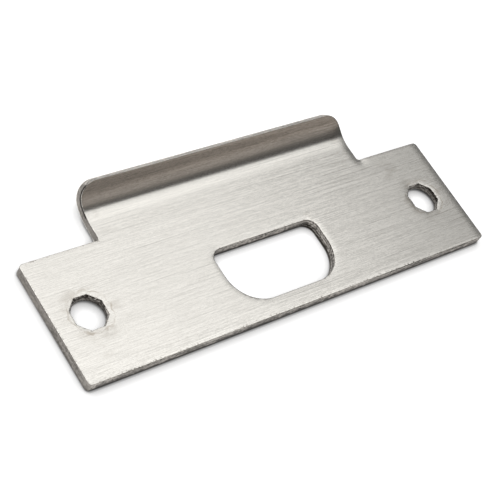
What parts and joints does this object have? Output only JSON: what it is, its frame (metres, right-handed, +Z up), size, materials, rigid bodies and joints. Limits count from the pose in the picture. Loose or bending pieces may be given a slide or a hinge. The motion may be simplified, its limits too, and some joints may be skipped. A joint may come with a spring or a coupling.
{
  "type": "door strike plate",
  "caption": "Flat pressed steel strike plate with a latch opening, countersunk screw holes and a curled lip that guides a door's latch bolt.",
  "frame": {"origin": "centre of the plate on its front face, midway between the two screw holes; the front face lies down, as in the picture", "axes": "+X along the plate's length, +Y from the screw line towards the curled lip, +Z up, from the front face to the back face and the way the lip curls"},
  "size_m": [0.1238, 0.0461, 0.0073],
  "materials": {
    "satin_steel": "satin, brushed along the length, with bare sheared edges"
  },
  "bodies": {
    "root": {"strike_plate": "satin_steel"}
  },
  "joints": []
}
